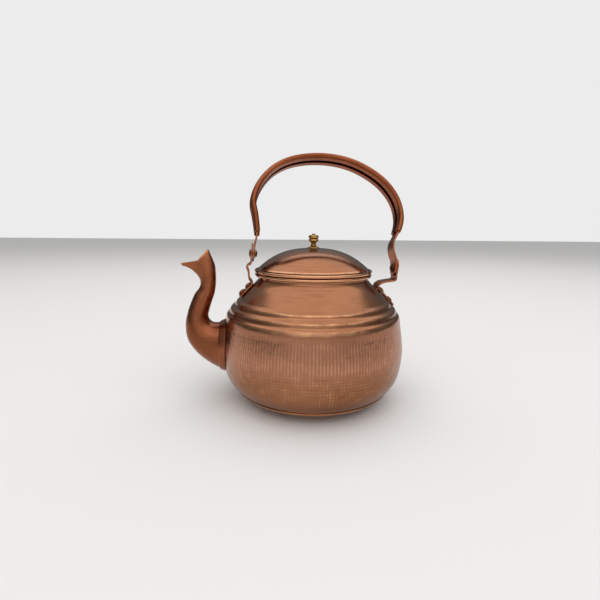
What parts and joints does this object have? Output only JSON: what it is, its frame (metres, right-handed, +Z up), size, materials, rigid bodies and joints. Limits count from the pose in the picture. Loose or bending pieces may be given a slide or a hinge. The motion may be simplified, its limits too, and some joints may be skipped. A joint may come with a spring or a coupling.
{
  "type": "copper kettle with bail handle",
  "caption": "Hammered copper kettle: squat body with beaded shoulder, domed lid with brass knob, swan-neck spout and overhead bail handle on riveted lugs.",
  "frame": {"origin": "centre of the flat underside of the base pan, on the body's axis", "axes": "+Z up along the body's axis; -X towards the spout, +X towards the rear lug; the bail handle stands over the X axis and leans towards +Y at rest"},
  "size_m": [0.2449, 0.196, 0.2648],
  "materials": {
    "body_copper": "hammered copper, polished long ago and gone brown",
    "spout_copper": "smooth raised copper, brown and a little glossy",
    "strap_copper": "red-brown copper strap, rubbed bright along its edges",
    "rivet_copper": "hammered copper rivet heads, darkened",
    "knob_brass": "turned brass, dull yellow-brown",
    "edge_wire": "iron wire inside the rolled edges"
  },
  "bodies": {
    "kettle_body": {"body_shell": "body_copper", "base_pan": "body_copper", "mouth_roll": "body_copper", "mouth_wire": "edge_wire", "spout_shell": "spout_copper", "spout_flange": "spout_copper", "front_lug": "strap_copper", "rear_lug": "strap_copper", "front_foot_rivet_lower": "rivet_copper", "front_foot_rove_lower": "rivet_copper", "front_foot_rivet_upper": "rivet_copper", "front_foot_rove_upper": "rivet_copper", "rear_foot_rivet_lower": "rivet_copper", "rear_foot_rove_lower": "rivet_copper", "rear_foot_rivet_upper": "rivet_copper", "rear_foot_rove_upper": "rivet_copper", "front_pivot_rivet": "rivet_copper", "front_pivot_rove": "rivet_copper", "rear_pivot_rivet": "rivet_copper", "rear_pivot_rove": "rivet_copper"},
    "lid": {"lid_dome": "body_copper", "lid_roll": "body_copper", "lid_wire": "edge_wire", "lid_collar": "body_copper", "lid_knob": "knob_brass", "knob_washer": "knob_brass", "knob_nut": "knob_brass"},
    "handle": {"handle_bar": "strap_copper", "handle_grip": "strap_copper"}
  },
  "joints": [
    {"name": "handle_swing", "type": "hinge", "parent": "kettle_body", "child": "handle", "pos_m": [-0.0638, 0, 0.157], "axis": [0.995, 0, -0.1003], "range_deg": [-95, 128]},
    {"name": "lid_lift", "type": "slide", "parent": "kettle_body", "child": "lid", "axis": [0.2756, 0, 0.9613], "range_m": [0, 0.062]}
  ]
}
